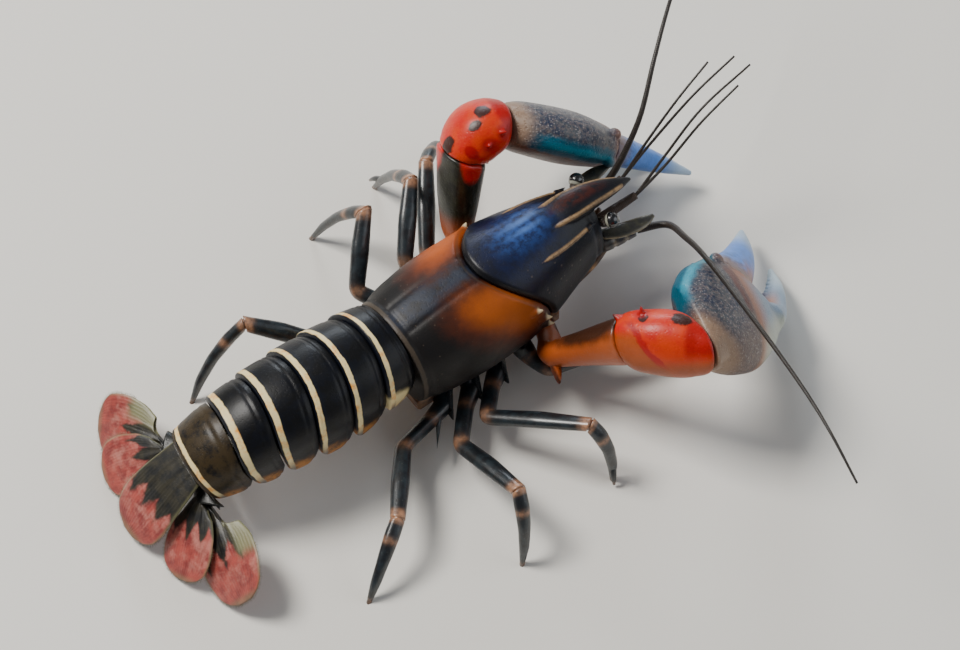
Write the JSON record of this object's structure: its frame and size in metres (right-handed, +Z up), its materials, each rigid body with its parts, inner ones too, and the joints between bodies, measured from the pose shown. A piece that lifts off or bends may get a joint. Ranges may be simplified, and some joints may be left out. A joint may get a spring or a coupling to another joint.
{
  "type": "zebra crayfish model",
  "caption": "Still, life-size crayfish on its walking legs: banded abdomen, spread tail fan, blue head shield, raised claws held forward and long feelers.",
  "frame": {"origin": "middle of the animal's footprint, on the floor that it stands on", "axes": "+X to the head, +Y to the animal's left, +Z up"},
  "size_m": [0.1548, 0.1176, 0.0389],
  "materials": {
    "carapace": "dark brown-black shell with amber patches, satin gloss",
    "head_shield": "deep blue shell with cream ridges, satin gloss",
    "breast_plate": "pale horn, satin",
    "abdomen_shell": "near-black shell with narrow cream bands, glossy",
    "tail_fan": "dark olive root and salmon-pink blades, satin",
    "eye": "black, high gloss",
    "feeler": "dark brown-black, satin",
    "mouth_leg": "brown horn, satin",
    "claw_arm": "dark olive-black shell with orange root, satin",
    "claw_wrist": "vermilion shell with olive-black spots, glossy",
    "claw_hand": "grey-blue shell with cream speckles and teal edge, satin",
    "claw_finger": "light blue shell with white tip, satin",
    "leg_shell": "dark blue-grey shell with cream joints, satin"
  },
  "bodies": {
    "root": {"abdomen_1": "abdomen_shell", "abdomen_2": "abdomen_shell", "abdomen_3": "abdomen_shell", "abdomen_4": "abdomen_shell", "abdomen_5": "abdomen_shell", "abdomen_6": "abdomen_shell", "antenna_left_feeler": "feeler", "antenna_left_peduncle": "feeler", "antenna_right_feeler": "feeler", "antenna_right_peduncle": "feeler", "antennal_scale_left": "feeler", "antennal_scale_right": "feeler", "antennule_left": "feeler", "antennule_right": "feeler", "carapace_head": "head_shield", "carapace_thorax": "carapace", "cheliped_left_carpus": "claw_wrist", "cheliped_left_dactyl": "claw_finger", "cheliped_left_merus": "claw_arm", "cheliped_left_propodus": "claw_hand", "cheliped_right_carpus": "claw_wrist", "cheliped_right_dactyl": "claw_finger", "cheliped_right_merus": "claw_arm", "cheliped_right_propodus": "claw_hand", "eye_left": "eye", "eye_right": "eye", "leg_left_2_lower": "leg_shell", "leg_left_2_upper": "leg_shell", "leg_left_3_lower": "leg_shell", "leg_left_3_upper": "leg_shell", "leg_left_4_lower": "leg_shell", "leg_left_4_upper": "leg_shell", "leg_left_5_lower": "leg_shell", "leg_left_5_upper": "leg_shell", "leg_right_2_lower": "leg_shell", "leg_right_2_upper": "leg_shell", "leg_right_3_lower": "leg_shell", "leg_right_3_upper": "leg_shell", "leg_right_4_lower": "leg_shell", "leg_right_4_upper": "leg_shell", "leg_right_5_lower": "leg_shell", "leg_right_5_upper": "leg_shell", "maxilliped_left": "mouth_leg", "maxilliped_right": "mouth_leg", "sternum": "breast_plate", "telson": "tail_fan", "uropod_left_base": "tail_fan", "uropod_left_inner": "tail_fan", "uropod_left_outer": "tail_fan", "uropod_right_base": "tail_fan", "uropod_right_inner": "tail_fan", "uropod_right_outer": "tail_fan"}
  },
  "joints": []
}
